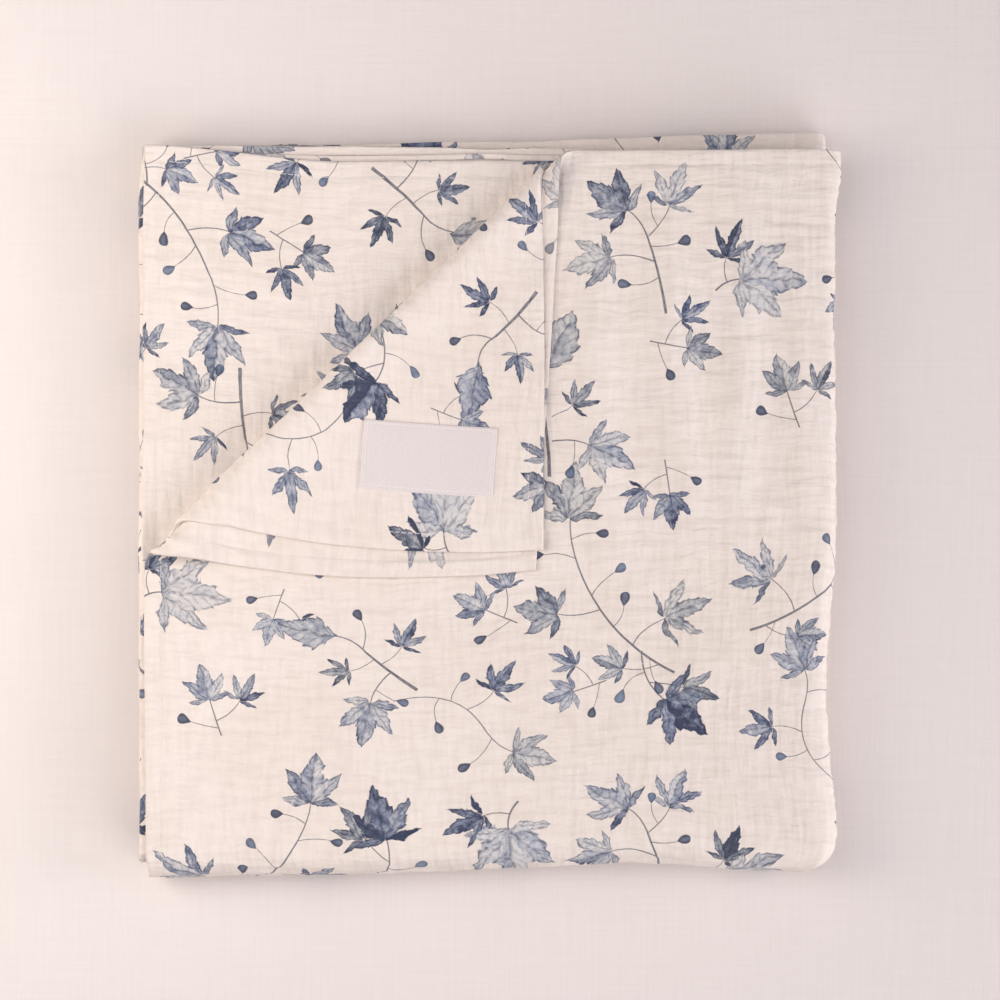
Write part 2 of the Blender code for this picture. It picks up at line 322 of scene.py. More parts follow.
class Patch:
    """An even lattice in a box of the flat cloth, or in a box along a panel's slanting crease."""

    def __init__(self, x0, x1, y0, y1, step_x, step_y, keep=None, slant=0):
        self.low, self.high = np.array((x0, y0)), np.array((x1, y1))
        self.step, self.keep, self.slant = np.array((step_x, step_y)), keep, slant

    def points(self):
        counts = np.maximum(2, np.round((self.high - self.low) / self.step).astype(int) + 1)
        axes = [np.linspace(self.low[i], self.high[i], counts[i]) for i in (0, 1)]
        own = np.stack(np.meshgrid(*axes), axis=-1).reshape(-1, 2)
        if self.slant:
            own = CREASE_POINT + np.outer(own[:, 0], ALONG) + np.outer(own[:, 1], OUTWARD)
        if self.slant == 2:
            own[:, 1] = -CUT_H - own[:, 1]
        return own if self.keep is None else own[self.keep(*own.T)]

    def holds(self, flat):
        """Whether each flat point lies in this patch or within half a step of it."""
        own = np.stack(crease_place(*flat.T), axis=1) if self.slant else flat
        near = self.step * 0.55
        inside = ((own > self.low - near) & (own < self.high + near)).all(axis=1)
        if self.slant:
            inside &= panel_of(*flat.T) == self.slant
        if self.keep is not None:
            inside[inside] = self.keep(*flat[inside].T)
        return inside


def patches(side):
    """The lattices of one side of the cloth, the finest first."""
    far_x, far_y = CUT_W - QUARTER_W, QUARTER_H - CUT_H
    # Columns: from, to, step
    bends_x = (
        (QUARTER_W, ROUND_RIGHT, 0.0015),
        (HALF_W, HALF_W + arc_length(2), 0.0009),
        (far_x - arc_length(4), far_x, 0.0015),
    )
    bends_y = (
        (-ROUND_LOW, -QUARTER_H, 0.0018),
        (-HALF_H - arc_length(1), -HALF_H, 0.0005),
        (far_y, far_y + arc_length(8), 0.0018),
    )
    reach = CORNER_REACH
    at_crease = (-0.010, CREASE_LENGTH + 0.010, -0.003, 0.034)
    if side == "front":
        made = [
            Patch(*at_crease, 0.0016, 0.0012, slant=2),
            Patch(*at_crease, 0.0050, 0.0014, slant=1),
            Patch(QUARTER_W, ROUND_RIGHT, -ROUND_LOW, 0, 0.0014, FINE_Y),
            Patch(0, ROUND_RIGHT, -ROUND_LOW, 0, FINE_X, FINE_Y, bare_top),
            Patch(0, reach, -CUT_H, reach - CUT_H, FINE_X, FINE_Y, turned),
            Patch(CUT_W - reach, CUT_W, -CUT_H, reach - CUT_H, FINE_X, FINE_Y, turned),
        ]
    else:
        made = [
            Patch(-0.004, 0.045, -0.003, 0.034, 0.0012, 0.0012, slant=1),
            Patch(*at_crease, 0.0050, 0.0014, slant=2),
            Patch(*at_crease, 0.0050, 0.0014, slant=1),
            Patch(0, reach, -reach, 0, 0.0020, 0.0015, on_strip),
        ]
    for x0, x1, step_x in bends_x:
        for y0, y1, step_y in bends_y:
            made.append(Patch(x0 - step_x, x1 + step_x, y0 - step_y, y1 + step_y, step_x, step_y))
    made += [Patch(x0 - step, x1 + step, -CUT_H, 0, step, ROUND_BEND) for x0, x1, step in bends_x]
    made += [Patch(0, CUT_W, y0 - step, y1 + step, ROUND_BEND, step) for y0, y1, step in bends_y]
    return [*made, Patch(0, CUT_W, -CUT_H, 0, COARSE, COARSE)]


def border(side):
    """Rows of points along the cloth's edges, closer together where this side's hem shows."""
    # Columns: origin, direction, inward, length, closer_up_to, closer_from, step
    edges = (
        ((0, 0), (0, -1), (1, 0), CUT_H, ROUND_LOW, CUT_H - CORNER_REACH, 0.0018),
        ((CUT_W, 0), (0, -1), (-1, 0), CUT_H, 0, CUT_H - CORNER_REACH, 0.0018),
        ((0, 0), (1, 0), (0, -1), CUT_W, ROUND_RIGHT, CUT_W, 0.0030),
        ((0, -CUT_H), (1, 0), (0, 1), CUT_W, CORNER_REACH, CUT_W - CORNER_REACH, 0.0030),
    )
    points = []
    for origin, direction, inward, length, up_to, begins, step in edges:
        t = [HEM_ROWS[-1]]
        while t[-1] < length - HEM_ROWS[-1]:
            t.append(t[-1] + (step if t[-1] < up_to or t[-1] > begins else ROUND_BEND))
        t = np.array(t[:-1])
        if side == "back":
            up_to, begins = (CORNER_REACH if origin == (0, 0) else 0), length
        shows = (t < up_to) | (t > begins)
        for rows, along in ((HEM_ROWS, t[shows]), (HIDDEN_ROWS, t[~shows])):
            for inset in rows:
                points.append(origin + np.outer(along, direction) + np.multiply(inset, inward))
    # At a corner the rows of both edges cross. Each place on the diagonal is drawn to the corner a little,
    # so that no triangle there has all its points on the very edge
    across, down = np.meshgrid(HEM_ROWS, HEM_ROWS)
    shrink = np.where((across == down) & (across < 0.0005), 0.9, 1.0)
    across, down = (across * shrink).ravel(), (down * shrink).ravel()
    for x in (across, CUT_W - across):
        for y in (-down, down - CUT_H):
            points.append(np.stack([x, y], axis=1))
    return np.concatenate(points)


def hem_distance(x, y):
    px, py = panel_place(x, y)
    return np.minimum(px, -py)


def flat_side(side):
    """All the points of one side, with those on the very edge first, and how many of those there are."""
    kept = [border(side)]
    lattices = patches(side)
    for number, patch in enumerate(lattices):
        new = patch.points()
        new = new[hem_distance(*new.T) > HEM_ROWS[-1] + HEM_CLEAR]
        for finer in lattices[:number]:
            new = new[~finer.holds(new)]
        kept.append(new)
    points = np.unique(np.concatenate(kept).round(9), axis=0)
    on_edge = hem_distance(*points.T) < 1e-7
    return np.concatenate([points[on_edge], points[~on_edge]]), int(on_edge.sum())


def triangulated(points):
    """Delaunay triangles of flat points, all turning the same way, each as three indices."""
    _, _, faces, originals, _, _ = delaunay_2d_cdt(points.tolist(), [], [], 0, 1e-8)
    index = np.array([o[0] for o in originals])
    faces = index[np.array(faces)]
    (ax, ay), (bx, by), (cx, cy) = points[faces].transpose(1, 2, 0)
    area = (bx - ax) * (cy - ay) - (cx - ax) * (by - ay)
    faces[area < 0] = faces[area < 0][:, ::-1]
    return faces[np.abs(area) > 1e-12]


def flat_cloth():
    """The closed flat sheet: its points, the side of each (1 front, -1 back, 0 the very edge), its faces, and
    how many of those are on the front."""
    front, on_edge = flat_side("front")
    back, _ = flat_side("back")
    front_faces = triangulated(front)
    back_faces = triangulated(back)[:, ::-1]
    back_faces = np.where(back_faces >= on_edge, back_faces + len(front) - on_edge, back_faces)
    points = np.concatenate([front, back[on_edge:]])
    side = np.ones(len(points))
    side[:on_edge] = 0
    side[len(front):] = -1
    used, faces = np.unique(np.concatenate([front_faces, back_faces]), return_inverse=True)
    return points[used], side[used], faces.reshape(-1, 3), len(front_faces)


# --- the cloth's relief: hems, seams and crinkles

HALF_THICK = 0.00058  # half of the sheet that shows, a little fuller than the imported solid's
EDGE_ROUND = 0.0006
HEM_STEP = 0.00042  # how much thicker the turned-in hem is on the back
SEAM_DEPTH, SEAM_WIDTH = 0.00026, 0.0007
PUCKER_FRONT, PUCKER_BACK = 0.00016, 0.00012
BARE_ROUND = 0.92  # of a fold's round, as far as its crinkles show
STRIP_FROM = 0.008  # past the crease, where the back of the upper layer begins to show
STITCH, THREAD_W = 0.0029, 0.00045  # a stitch with its gap, and the thread's width
CRINKLE = 0.00092  # from its valleys to its ridges


def value_noise(x, y, cell_x, cell_y, seed):
    """Smooth noise from -1 to 1, with one random value to each cell."""
    rng = np.random.default_rng(seed)
    table = rng.uniform(-1, 1, (257, 1025))
    across, down = np.asarray(x) / cell_x + 100, np.asarray(y) / cell_y + 1000
    i, j = np.floor(across).astype(int), np.floor(down).astype(int)
    u, v = smooth(across - i), smooth(down - j)
    i, i_next, j, j_next = i % 256, (i + 1) % 256, j % 1024, (j + 1) % 1024
    upper = table[i, j] * (1 - u) + table[i_next, j] * u
    lower = table[i, j_next] * (1 - u) + table[i_next, j_next] * u
    return upper * (1 - v) + lower * v


def crinkle(x, y):
    """Height of the crinkles, from 0 to 1: long low creases across the cloth, and a faint quilting."""
    wander = 0.0009 * value_noise(x, y, 0.024, 0.013, 1)
    creases = 0.60 * value_noise(x, y + wander, 0.017, 0.0024, 2)
    creases += 0.40 * value_noise(x, y - wander, 0.010, 0.0016, 3)
    quilted = 0.62 * value_noise(x, y, 0.0050, 0.0170, 4)
    return np.clip(0.5 + 0.5 * (creases + quilted), 0, 1)


def outline_distance(places, outline):
    """How far outside a closed outline each place is, in plan. It is negative inside."""
    start, end = outline, np.roll(outline, -1, axis=0)
    nearest = np.full(len(places), np.inf)
    inside = np.zeros(len(places), bool)
    for (ax, ay), (bx, by) in zip(start, end, strict=True):
        dx, dy = bx - ax, by - ay
        x, y = places[:, 0] - ax, places[:, 1] - ay
        t = np.clip((x * dx + y * dy) / (dx * dx + dy * dy), 0, 1)
        nearest = np.minimum(nearest, np.hypot(x - t * dx, y - t * dy))
        crosses = (y < 0) != (places[:, 1] < by)
        inside ^= crosses & (x < dx * y / np.where(dy == 0, 1, dy))
    return np.where(inside, -nearest, nearest)


def flap_outline(panel):
    """Where the turned-back hems of panel 1 or 2 lie in plan, from the crease's low end to its high end."""
    low, high = -CREASE_LOW[1] + 0.006, CREASE_HIGH[0] + 0.006
    hem = np.zeros((49, 2))
    hem[:25, 1] = -np.linspace(low, 0, 25)
    hem[24:, 0] = np.linspace(0, high, 25)
    if panel == 2:
        hem[:, 1] = -CUT_H - hem[:, 1]
    flat = np.column_stack([hem, np.full(len(hem), THICK / 2)])
    return fold_cloth(flat, np.full(len(hem), panel))[:, :2]


def label_place(x, y):
    """A place of the pack's plan, seen from the label's middle and along its sides."""
    return turned_axes(x + CENTRE[0], y + CENTRE[1], LABEL_X, LABEL_Y, LABEL_TURN)


def bareness(flat, side, layer, folded):
    """How freely each point may rise from its sheet: 1 where nothing lies on it, 0 inside the pile."""
    x, y = flat[:, 0], flat[:, 1]
    a, s = crease_place(x, y)
    panel, plan = panel_of(x, y), folded[:, :2]
    printed, upper_back = side > 0, (layer == 1) & (side < 0)
    # The top panel, as far as it reaches round the right and the bottom fold
    round_right = smooth((QUARTER_W + BARE_ROUND * arc_length(4) - x) / 0.003)
    round_low = smooth((y + QUARTER_H + BARE_ROUND * arc_length(8)) / 0.004)
    uncovered = smooth((outline_distance(plan, flap_outline(1)) - 0.0008) / 0.004) * smooth(-s / 0.004)
    # The outer face of the roll and the turned-back corner, apart from the label's place
    label_x, label_y = label_place(*plan.T)
    beside_label = np.maximum(np.abs(label_x) - LABEL_W / 2, np.abs(label_y) - LABEL_H / 2)
    outer_face = smooth((s - 0.001) / 0.004) * smooth(beside_label / 0.003)
    # The back of the upper layer past the second layer's hems, and at the roll's end
    past_hem = smooth((outline_distance(plan, flap_outline(2)[4:]) - 0.0004) / 0.0022)
    roll_end = smooth((0.0070 - a) / 0.003) * smooth((s - 0.001) / 0.003)
    cases = (
        (printed & (panel == 1), round_right * round_low * uncovered),
        (printed & (panel == 2), outer_face),
        (printed & (panel == 3), smooth((s - 0.0015) / 0.006)),
        (upper_back & (s > STRIP_FROM), past_hem),
        (upper_back & (s <= STRIP_FROM), roll_end),
    )
    where, freedom = zip(*cases, strict=True)
    return np.select(where, freedom, 0.0)


# On the turned-back corner, in the pack's plan: gathers at the low end of the roll, and soft swells
# Columns: x, y, half_length, half_width, heading_degrees, height
GATHERS = (
    (0.010, -0.1578, 0.015, 0.0017, -3, 0.0017),
    (0.012, -0.1625, 0.014, 0.0014, 3, 0.0012),
    (0.034, -0.1605, 0.013, 0.0012, -12, 0.0009),
    (0.123, -0.1640, 0.024, 0.0013, -3, 0.0009),
    (0.162, -0.0180, 0.014, 0.0011, 82, 0.0007),
    (0.112, -0.1000, 0.040, 0.0060, 84, 0.0006),
    (0.140, -0.0900, 0.045, 0.0050, 92, 0.0006),
    (0.080, -0.1350, 0.030, 0.0060, 78, 0.0005),
)


def relief(flat, side, free, folded):
    """How far each point stands from the middle of the sheet."""
    x, y = flat[:, 0], flat[:, 1]
    edge = hem_distance(x, y)
    rounding = np.sqrt(1 - (1 - np.clip(edge / EDGE_ROUND, 0, 1)) ** 2)
    in_hem = smooth((HEM_W + 0.0001 - edge) / 0.0006)
    seam = np.exp(-(((edge - HEM_W) / SEAM_WIDTH) ** 2))
    px, py = panel_place(x, y)
    along_hem = np.where(px < -py, y, x)
    pucker = value_noise(along_hem, edge, 0.0026, 0.006, 5) * smooth((0.013 - edge) / 0.010)
    front = free * (CRINKLE * crinkle(x, y) * (1 - 0.45 * in_hem) + PUCKER_FRONT * (pucker + 1))
    front += free * (0.00010 * in_hem - SEAM_DEPTH * seam)
    back = free * (HEM_STEP * in_hem + 0.5 * CRINKLE * crinkle(x, y) + PUCKER_BACK * (pucker + 1))
    over = (crease_place(x, y)[1] > 0) & (panel_of(x, y) < 3)
    gathered = free * over * mounds(folded[:, 0] + CENTRE[0], folded[:, 1] + CENTRE[1], GATHERS)
    return side * rounding * (HALF_THICK + np.where(side > 0, front, back) + gathered)


CORNER_ROUND, CORNER_IN = 0.018, 0.0105
# How the pack's edges and the turned-back corner's lower hem bow, in millimetres of the pack's plan
# Columns: down, out
RIGHT_EDGE = (
    (0, 0.6), (12, 0.7), (21, -1.0), (75, -1.6), (120, -1.0), (155, -1.1), (178, -2.5), (205, -4.7),
    (227, -5.8), (247, -5.1), (268, -3.1), (290, -1.2), (310, -1.0),
)
# Columns: right, up
LOWER_EDGE = (
    (-10, 1.6), (60, 2.0), (107, 2.9), (144, 4.9), (180, 6.2), (201, 7.9), (222, 6.2), (240, 4.3), (270, 2.2),
    (300, 2.0),
)
# Columns: right, down
CORNER_HEM = (
    (-10, 1.5), (15, 2.6), (30, 4.0), (60, 6.8), (80, 7.6), (105, 6.8), (137, 4.6), (164, 1.3), (190, 0),
)
BOW_REACH = 0.075  # how far into the pack an edge's bow goes
HEM_BOW_TOP, HEM_BOW_LOW = (0.130, 0.166), (0.170, 0.240)
BOW_WINDOW = 21  # millimetres that a bow is smoothed over, and its two ends


def bow(places, rows):
    """A smooth curve through the rows of a short table."""
    at, level = np.array(rows, float).T / 1000
    fine = np.arange(at[0], at[-1], 0.001)
    window = np.hanning(BOW_WINDOW)[1:-1]
    level = np.pad(np.interp(fine, at, level), len(window) // 2, "edge")
    return np.interp(places, fine, np.convolve(level, window / window.sum(), "valid"))


def loosened(points):
    """Lets each layer's edge stray in and out a little by itself, the more the deeper it lies in the pile."""
    x, y, z = points.T.copy()
    deep = 0.25 + 0.75 * smooth((TOP - z) / 0.004)
    x += deep * (0.0007 * value_noise(y, z, 0.018, 0.0019, 6) + 0.0010 * value_noise(y, z, 0.060, 0.0027, 7))
    y += deep * (0.0006 * value_noise(x, z, 0.020, 0.0019, 8) + 0.0009 * value_noise(x, z, 0.065, 0.0027, 9))
    # The right and the lower fold bow in, with a round corner between
    right, down = x + CENTRE[0], -y - CENTRE[1]
    t = np.clip((down - PANEL_H + CORNER_ROUND) / CORNER_ROUND, 0, 1)
    drawn = bow(down, RIGHT_EDGE) - CORNER_IN * (1 - np.sqrt(1 - t**2))
    x += drawn * smooth((right - PANEL_W + BOW_REACH) / BOW_REACH)
    y += bow(right, LOWER_EDGE) * smooth((down - PANEL_H + BOW_REACH) / BOW_REACH)
    # The turned-back corner's hem bows out
    begun = smooth((down - HEM_BOW_TOP[0]) / (HEM_BOW_TOP[1] - HEM_BOW_TOP[0]))
    left = smooth((HEM_BOW_LOW[1] - down) / (HEM_BOW_LOW[1] - HEM_BOW_LOW[0]))
    y -= bow(right, CORNER_HEM) * begun * left
    return np.stack([x, y, z], axis=1)


def cloth_shape(points, side):
    """The folded place of each flat point."""
    flat = np.column_stack([points, np.full(len(points), THICK / 2)])
    layer = layers_of(flat)
    folded = fold_cloth(flat, layer)
    free = bareness(flat, side, layer, folded)
    flat[:, 2] += relief(flat, side, free, folded)
    top_face = (layer == 1) & (side > 0)
    risen = pack_up(flat)
    flat[top_face, 2] += free[top_face] * mounds(risen[top_face, 0], risen[top_face, 1], RIDGES)
    return loosened(fold_cloth(flat, layer))


def store(mesh, name, domain, values):
    attribute = mesh.attributes.new(name, "FLOAT_VECTOR", domain)
    attribute.data.foreach_set("vector", np.ascontiguousarray(values, np.float32).ravel())


BAKE_REACH, BAKE_STRIP = 0.192, 0.018  # of a turned-back corner, and of its back beside the hems
# Where parts of the cloth lie in the baked texture. A face belongs to the first part that holds its middle
# Columns: front, x0, y0, x1, y1, only_where, u, v, size_per_metre, quarter_turn
BAKE_PARTS = (
    (True, 0, -0.333, 0.300, 0.001, None, 0.008, 0.008, 2.150, False),
    (True, 0, -CUT_H, BAKE_REACH, BAKE_REACH - CUT_H, turned, 0.668, 0.008, 1.660, False),
    (True, CUT_W - BAKE_REACH, -CUT_H, CUT_W, BAKE_REACH - CUT_H, turned, 0.668, 0.022, 1.660, True),
    (False, 0, -BAKE_REACH, BAKE_STRIP, 0, None, 0.975, 0.380, 1.300, False),
    (False, BAKE_STRIP, -BAKE_STRIP, BAKE_REACH, 0, None, 0.720, 0.960, 1.300, False),
    (True, 0, -CUT_H, CUT_W, 0, None, 0.670, 0.375, 0.250, False),
    (False, 0, -CUT_H, CUT_W, 0, None, 0.008, 0.745, 0.200, False),
)


def bake_places(mesh, points, faces, front_count):
    """Gives the parts that show most of the baked texture."""
    corners = points[faces]
    x, y = corners.mean(axis=1).T
    front = np.arange(len(faces)) < front_count
    placed = np.zeros((len(faces), 3, 2))
    left = np.ones(len(faces), bool)
    for is_front, x0, y0, x1, y1, only_where, u, v, size, quarter_turn in BAKE_PARTS:
        own = left & (front == is_front) & (x >= x0) & (x <= x1) & (y >= y0) & (y <= y1)
        if only_where:
            own &= only_where(x, y)
        across, down = corners[own, :, 0] - x0, corners[own, :, 1] - y0
        if quarter_turn:
            across, down = y1 - y0 - down, across
        if not is_front:
            across = x1 - x0 - across
        placed[own] = np.stack([u + across * size, v + down * size], axis=-1)
        left &= ~own
    layer = mesh.uv_layers.new(name="OFBake")
    layer.uv.foreach_set("vector", placed.astype(np.float32).ravel())


def add_object(name, data):
    made = bpy.data.objects.new(name, data)
    bpy.context.scene.collection.objects.link(made)
    return made


def cloth_mesh():
    points, side, faces, front_count = flat_cloth()
    mesh = bpy.data.meshes.new("cloth")
    mesh.from_pydata(cloth_shape(points, side).tolist(), [], faces.tolist())
    mesh.shade_smooth()
    store(mesh, "flat", "POINT", np.column_stack([points, side]))
    for name, values in print_attributes(points, faces).items():
        store(mesh, name, "CORNER", values)
    bake_places(mesh, points, faces, front_count)
    return add_object("cloth", mesh)


# --- the leaf print: where its sprigs lie

# Millimetres in a sprig's own frame. Each stem is a curve from its start, by its bend, to its end, where it
# bears a leaf or a berry of the given length, or nothing.
# Columns: start_x, start_y, bend_x, bend_y, end_x, end_y, thick, thin, bears, length, breadth, tone
SPRIGS = {
    "arch": (
        (-46, -17, -16, -21, 10, -5, 1.3, 0.8, None, 0, 0, 0),
        (10, -5, 25, 4, 31, 15, 0.8, 0.5, "lobed", 25, 1, 0.4),
        (-24, -18, -23, -9, -29, 0, 0.6, 0.4, "slim", 25, 1, 0.3),
        (-3, -12, 3, -20, 11, -23, 0.6, 0.4, "lobed", 22, 1, 0.62),
        (-34, -18, -37, -23, -41, -25, 0.4, 0.3, "berry", 6.3, 1, 0.7),
        (-13, -15, -14, -10, -11, -5, 0.4, 0.3, "berry", 6.5, 1, 0.85),
        (20, 1, 27, 0, 32, -4, 0.4, 0.3, "berry", 6.1, 1, 0.9),
        (3, -9, 4, -2, 1, 5, 0.5, 0.3, "berry", 5.8, 1, 0.6),
        (26, 7, 22, 13, 18, 15, 0.4, 0.3, "berry", 5.9, 1, 0.95),
        (-38, -18, -33, -26, -26, -28, 0.5, 0.3, "lobed", 15, 1, 0.5),
    ),
    "bough": (
        (4, -36, -1, -22, -9, -8, 1.9, 1.2, None, 0, 0, 0),
        (-9, -8, -15, 0, -14, 8, 0.9, 0.6, "oval", 29, 1, 0.45),
        (-1, -21, 8, -16, 16, -17, 0.8, 0.5, "lobed", 24, 1, 0.35),
        (-10, -6, -20, -6, -25, -1, 0.6, 0.4, "berry", 6.5, 1, 0.9),
        (-4, -16, -10, -22, -16, -23, 0.5, 0.3, "slim", 17, 1, 0.7),
        (9, -17, 12, -24, 12, -28, 0.4, 0.3, "berry", 6.1, 1, 0.65),
        (-6, -12, 1, -8, 3, -3, 0.5, 0.3, "slim", 15, 1, 0.58),
    ),
    "great": (
        (3, -22, 5, -15, 1, -9, 1.0, 0.7, "great", 33, 1, 0.16),
        (4, -15, 10, -14, 13, -10, 0.6, 0.4, "slim", 20, 1, 0.92),
    ),
    "fork": (
        (28, -30, 13, -20, 1, -8, 1.4, 0.9, None, 0, 0, 0),
        (1, -8, -5, -2, -6, 5, 0.8, 0.5, "lobed", 24, 1, 0.5),
        (9, -16, 10, -4, 16, 3, 0.7, 0.4, "lobed", 22, 1, 0.3),
        (1, -8, -9, -12, -16, -11, 0.6, 0.4, "slim", 21, 1, 0.28),
        (15, -21, 21, -17, 23, -11, 0.5, 0.3, "berry", 6.3, 1, 0.75),
        (4, -11, 2, -17, -2, -21, 0.5, 0.3, "berry", 6.5, 1, 0.9),
        (-5, -10, -8, -5, -13, -3, 0.4, 0.3, "berry", 5.6, 1, 0.55),
    ),
    "tuft": (
        (9, -28, 12, -15, 3, -5, 0.9, 0.6, "lobed", 27, 1.05, 0.88),
        (9, -14, 0, -12, -6, -9, 0.6, 0.4, "slim", 19, 1.1, 0.62),
        (11, -19, 17, -18, 20, -13, 0.4, 0.3, "berry", 6.7, 1, 0.5),
    ),
    "twin": (
        (9, -14, 4, -8, -1, -1, 0.7, 0.5, "lobed", 17, 1, 0.42),
        (5, -9, 10, -4, 11, 3, 0.5, 0.4, "slim", 15, 1, 0.6),
        (7, -11, 0, -13, -5, -13, 0.4, 0.3, "berry", 6.1, 1, 0.92),
    ),
    "trail": (
        (-4, -42, -15, -16, 3, -1, 0.4, 0.6, None, 0, 0, 0),
        (3, -1, 12, 6, 13, 13, 0.6, 0.4, "lobed", 22, 1, 0.32),
        (-9, -22, -3, -25, 3, -22, 0.4, 0.3, "berry", 6.3, 1, 0.8),
        (-4, -9, -8, -2, -14, 1, 0.5, 0.3, "slim", 18, 1, 0.66),
        (9, 3, 17, 1, 21, -4, 0.4, 0.3, "berry", 6.1, 1, 0.88),
        (-7, -17, -13, -17, -17, -14, 0.4, 0.3, "berry", 5.6, 1, 0.58),
    ),
}
# The repeat of the print, in millimetres. Every second column of it hangs half a repeat lower
REPEAT_W, REPEAT_H = 238, 252
SPRIG_SIZE = 0.93
CROWDING = 0.937  # of the places in the table below, which were set out on a wider repeat
# Columns: sprig, x, y, turn_degrees, size, flipped
LAYOUT = (
    ("arch", 50, -44, 22, 1, False),
    ("tuft", 106, -30, -28, 1, False),
    ("great", 156, -42, 152, 1.05, False),
    ("fork", 214, -34, 64, 1, True),
    ("twin", 112, -84, 118, 1.05, False),
    ("bough", 186, -108, -20, 1, False),
    ("trail", 38, -112, 36, 1, False),
    ("twin", 238, -86, -64, 1, True),
    ("fork", 118, -150, 196, 1, False),
    ("tuft", 66, -158, 96, 0.95, True),
    ("arch", 204, -190, -34, 1, True),
    ("great", 16, -188, -58, 0.95, True),
    ("twin", 150, -196, 24, 1, False),
    ("bough", 88, -222, 74, 0.95, True),
    ("trail", 150, -250, -98, 1, False),
    ("tuft", 232, -246, 190, 1, False),
    ("twin", 30, -240, -20, 1.05, False),
    ("twin", 229, -152, 150, 0.95, False),
    ("twin", 58, -200, 200, 0.9, True),
    ("twin", 188, -236, 70, 0.9, False),
    ("twin", 96, -118, -40, 0.85, True),
)
# Half-widths of a leaf's lobes, in leaf lengths. Columns: tip, middle_pair, low_pair
FORMS = {
    "lobed": (0.215, 0.185, 0.160),
    "slim": (0.165, 0.140, 0.120),
    "great": (0.240, 0.215, 0.195),
    "oval": (0.300, 0.0, 0.0),
}
CURVE_STEPS = 12
STEM_WIDTH = 0.85
STEM_OVERLAP = (0.1, 1.2)  # how far a stem runs on past its start and past its end, in millimetres
FAR_END = 5.0  # millimetres from a stem's end, and more than that doesn't count
# Where no leaf or berry is near, the place in its frame. Where no stem is near, the place beside it, its half
# width and the place from its end
FAR_OFF, NO_STEM = (-9.0, -9.0, 0.0), (0.0, -9.0, 0.0)
SEED_STEP, SEEDS = 7.31, 97  # from one leaf's chance number to the next's, and where they begin again


def curve_places(curve, steps):
    """Places along a stem, from its start to its end."""
    start, bend, end = curve
    t = np.linspace(0, 1, steps + 1)[:, None]
    return (1 - t) ** 2 * start + 2 * t * (1 - t) * bend + t**2 * end


def rooted(rows):
    """A sprig's stems as curves, each after the first from the nearest place on those before it."""
    curves, passed = [], []
    for row in rows:
        curve = np.array(row[:6], float).reshape(3, 2)
        if passed:
            places = np.concatenate(passed)
            curve[0] = places[np.linalg.norm(places - curve[0], axis=1).argmin()]
        curves.append(curve)
        passed.append(curve_places(curve, 2 * CURVE_STEPS))
    return np.array(curves)


def sprig_stems():
    """Every stem on the cloth: its curve in millimetres, its two half widths and what it bears."""
    curves, rows = [], []
    columns = range(-1, math.ceil(CUT_W * 1000 / REPEAT_W) + 1)
    repeats = range(-1, math.ceil(CUT_H * 1000 / REPEAT_H) + 1)
    for column, repeat, (name, x, y, turn, size, flipped) in product(columns, repeats, LAYOUT):
        size *= SPRIG_SIZE
        origin = CROWDING * np.array((x, y)) + (column * REPEAT_W, -(repeat + column % 2 / 2) * REPEAT_H)
        cos, sin = math.cos(math.radians(turn)) * size, math.sin(math.radians(turn)) * size
        for stem, curve in zip(SPRIGS[name], rooted(SPRIGS[name]), strict=True):
            curve[:, 0] *= -1 if flipped else 1
            curves.append(origin + curve @ np.array(((cos, sin), (-sin, cos))))
            thick, thin, bears, length, breadth, tone = stem[6:]
            half = size * STEM_WIDTH / 2
            rows.append((thick * half, thin * half, bears, length * size, breadth, tone))
    return np.array(curves), rows


def nearest_two(centre, reach, middles, radii, gap):
    """The two items that each face lies nearest to, by gap(item, places), or -1 where none is near."""
    found = np.full((len(centre), 2), -1)
    best = np.full((len(centre), 2), np.inf)
    order = np.argsort(centre[:, 0])
    for item, (middle, radius) in enumerate(zip(middles, radii, strict=True)):
        span = np.array((-1, 1)) * (radius + reach.max())
        near = order[slice(*np.searchsorted(centre[:, 0], middle[0] + span, sorter=order))]
        near = near[np.linalg.norm(centre[near] - middle, axis=1) < radius + reach[near]]
        items, gaps = np.full(len(near), item), gap(item, centre[near])
        for slot in (0, 1):
            better = gaps < best[near, slot]
            own = near[better]
            found[own, slot], items[better] = items[better], found[own, slot]
            best[own, slot], gaps[better] = gaps[better], best[own, slot]
    return found


def beside_steps(offset, step):
    """How far along each step of a line a place lies, in steps, and its distance from the step."""
    along = (offset * step).sum(axis=-1) / (step * step).sum(axis=-1)
    return along, np.linalg.norm(offset - np.clip(along, 0, 1)[..., None] * step, axis=-1)


def stem_places(corners, line, half):
    """Each corner's place beside its stem, the stem's half width there, and the place from the stem's end."""
    step = np.diff(line, axis=1)[:, None]
    offset = corners[:, :, None] - line[:, None, :-1]
    along, apart = beside_steps(offset, step)
    length = np.linalg.norm(step, axis=-1)
    side = (step[..., 0] * offset[..., 1] - step[..., 1] * offset[..., 0]) / length
    nearest = apart.argmin(axis=2)[..., None]
    side, along, length = (
        np.take_along_axis(np.broadcast_to(values, apart.shape), nearest, 2)[..., 0]
        for values in (side, along, length)
    )
    place = (nearest[..., 0] + along) / CURVE_STEPS
    in_first_half = place < 0.5
    from_end = np.where(in_first_half, place, 1 - place) * CURVE_STEPS * length
    from_end = (from_end + np.where(in_first_half, *STEM_OVERLAP)).clip(-FAR_END, FAR_END)
    half_width = half[:, :1] + (half[:, 1:] - half[:, :1]) * np.clip(place, 0, 1)
    return np.stack([side, half_width, from_end], axis=2)


